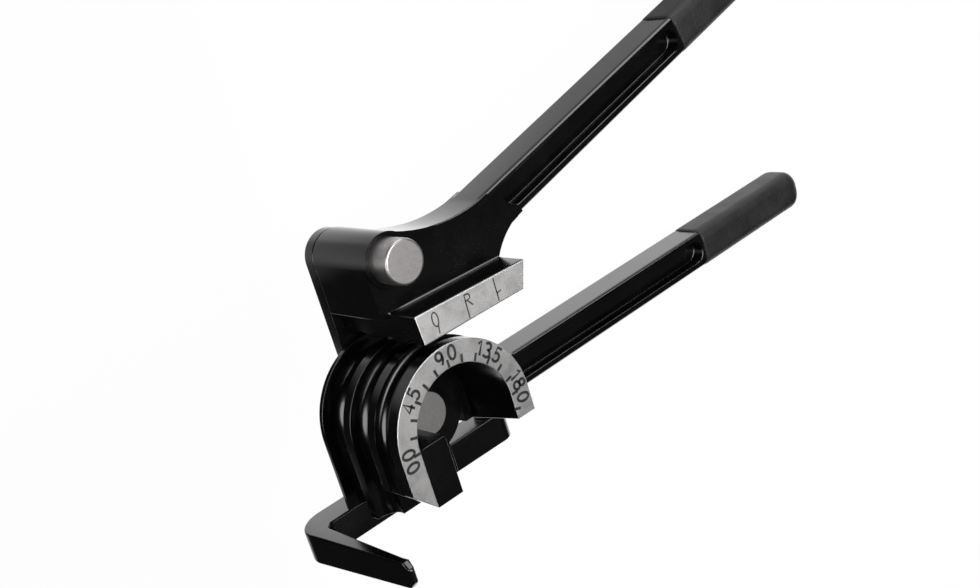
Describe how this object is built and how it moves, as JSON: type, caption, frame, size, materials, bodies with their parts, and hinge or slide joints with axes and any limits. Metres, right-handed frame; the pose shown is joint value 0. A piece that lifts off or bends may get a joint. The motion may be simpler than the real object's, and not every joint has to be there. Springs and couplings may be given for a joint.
{
  "type": "lever tube bender",
  "caption": "Hand lever bender for small metal tubes: grooved former with a bend scale, swinging link and forming handle with a marked shoe, tube hook and vinyl grips",
  "frame": {"origin": "on the main pivot axis, in the flat face of the main rivet's back head, which is the lowest face of the tool as it lies on its back", "axes": "+X along the lower handle towards its grip, +Y from the main pivot towards the 90 mark of the bend scale, +Z out of the scale's face along both lever pivots"},
  "size_m": [0.2294, 0.1193, 0.056],
  "materials": {
    "black_paint": "gloss black paint on die-cast aluminium",
    "black_steel": "gloss black paint on steel",
    "grip_vinyl": "matte dipped vinyl",
    "rivet_steel": "turned steel"
  },
  "bodies": {
    "base": {"former": "black_paint", "lower_handle": "black_paint", "lower_grip": "grip_vinyl", "main_rivet": "rivet_steel", "main_washer": "rivet_steel", "former_screws": "rivet_steel", "hook_pin": "rivet_steel", "hook_washer": "rivet_steel"},
    "link": {"link_plate": "black_steel"},
    "forming_lever": {"forming_handle": "black_paint", "upper_grip": "grip_vinyl", "upper_pin": "rivet_steel", "upper_washer": "rivet_steel"},
    "hook": {"tube_hook": "black_paint"}
  },
  "joints": [
    {"name": "link_swing", "type": "hinge", "parent": "base", "child": "link", "pos_m": [0, 0, 0.0177], "axis": [0, 0, 1], "range_deg": [-90, 90]},
    {"name": "forming_pivot", "type": "hinge", "parent": "link", "child": "forming_lever", "pos_m": [0, 0.046, 0.0177], "axis": [0, 0, 1], "range_deg": [0, 120]},
    {"name": "hook_swing", "type": "hinge", "parent": "base", "child": "hook", "pos_m": [0.0385, -0.0288, 0.0099], "axis": [0, -1, 0], "range_deg": [0, 60]}
  ]
}
